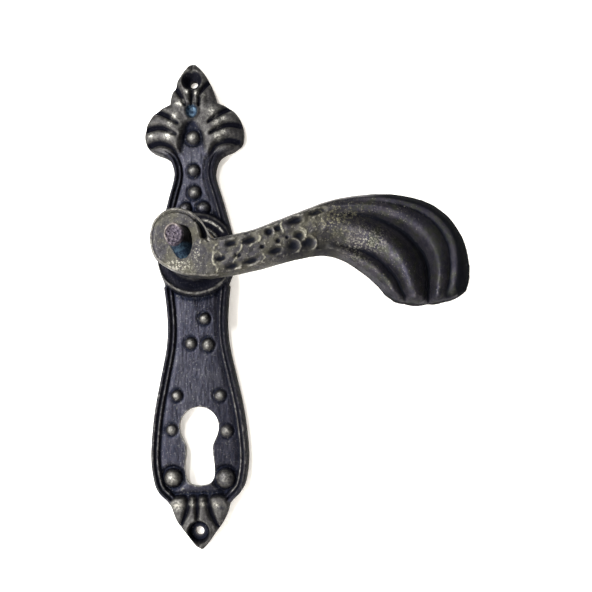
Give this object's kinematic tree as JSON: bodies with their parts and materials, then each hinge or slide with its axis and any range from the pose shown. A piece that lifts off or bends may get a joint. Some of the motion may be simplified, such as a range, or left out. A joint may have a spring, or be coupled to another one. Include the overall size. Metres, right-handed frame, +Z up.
{
  "type": "door lever handle",
  "caption": "Cast door lever with a scrolled hub, hammered bar and fluted shell grip on a long backplate with a euro-profile cylinder hole.",
  "frame": {"origin": "where the spindle's axis meets the door face", "axes": "+X along the lever, +Y into the door along the spindle, +Z up along the backplate; the visible front faces -Y"},
  "size_m": [0.15, 0.1198, 0.2414],
  "materials": {
    "blackened_plate": "blackened, worn bright on the high spots",
    "blackened_lever": "blackened, hammered, worn bright on the edges",
    "bush_brass": "turned",
    "bright_steel": "zinc plated",
    "spring_steel": "oiled"
  },
  "bodies": {
    "plate_body": {"backplate": "blackened_plate", "neck_bush": "bush_brass", "friction_washer": "bright_steel", "return_spring": "spring_steel", "spring_cover": "bright_steel"},
    "lever_body": {"lever": "blackened_lever", "hub_peg": "blackened_lever", "spindle": "bright_steel", "grub_screw": "spring_steel", "spring_driver": "bright_steel", "circlip": "spring_steel"}
  },
  "joints": [
    {"name": "lever_turn", "type": "hinge", "parent": "plate_body", "child": "lever_body", "pos_m": [0, 0, 0], "axis": [0, 1, 0], "range_deg": [0, 45], "stiffness_Nm_per_rad": 0.6, "springref_deg": -40.11, "deforming": ["return_spring"]}
  ]
}
